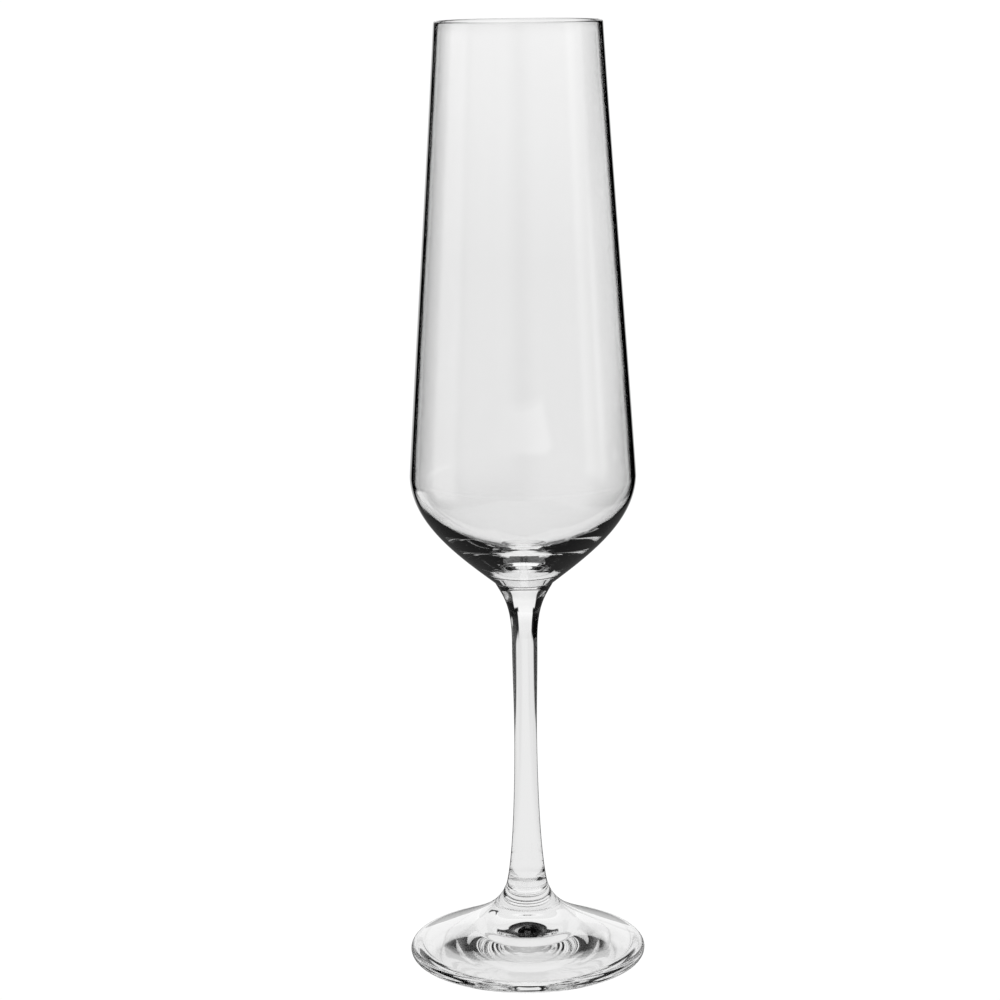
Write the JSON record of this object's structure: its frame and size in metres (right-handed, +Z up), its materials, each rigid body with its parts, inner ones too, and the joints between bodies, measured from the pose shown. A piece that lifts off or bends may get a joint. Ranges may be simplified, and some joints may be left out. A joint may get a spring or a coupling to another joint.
{
  "type": "champagne flute",
  "caption": "Clear-glass champagne flute: tall bowl narrowing to the mouth above a low rounded shoulder, slender waisted stem and a thin round foot.",
  "frame": {"origin": "on the axis, at the centre of the ring that the foot stands on", "axes": "+Z up along the glass's axis of revolution, from the foot to the mouth"},
  "size_m": [0.061, 0.061, 0.24],
  "materials": {
    "clear_glass": "fire-polished, smooth and colourless"
  },
  "bodies": {
    "root": {"bowl": "clear_glass", "stem": "clear_glass", "foot": "clear_glass"}
  },
  "joints": []
}
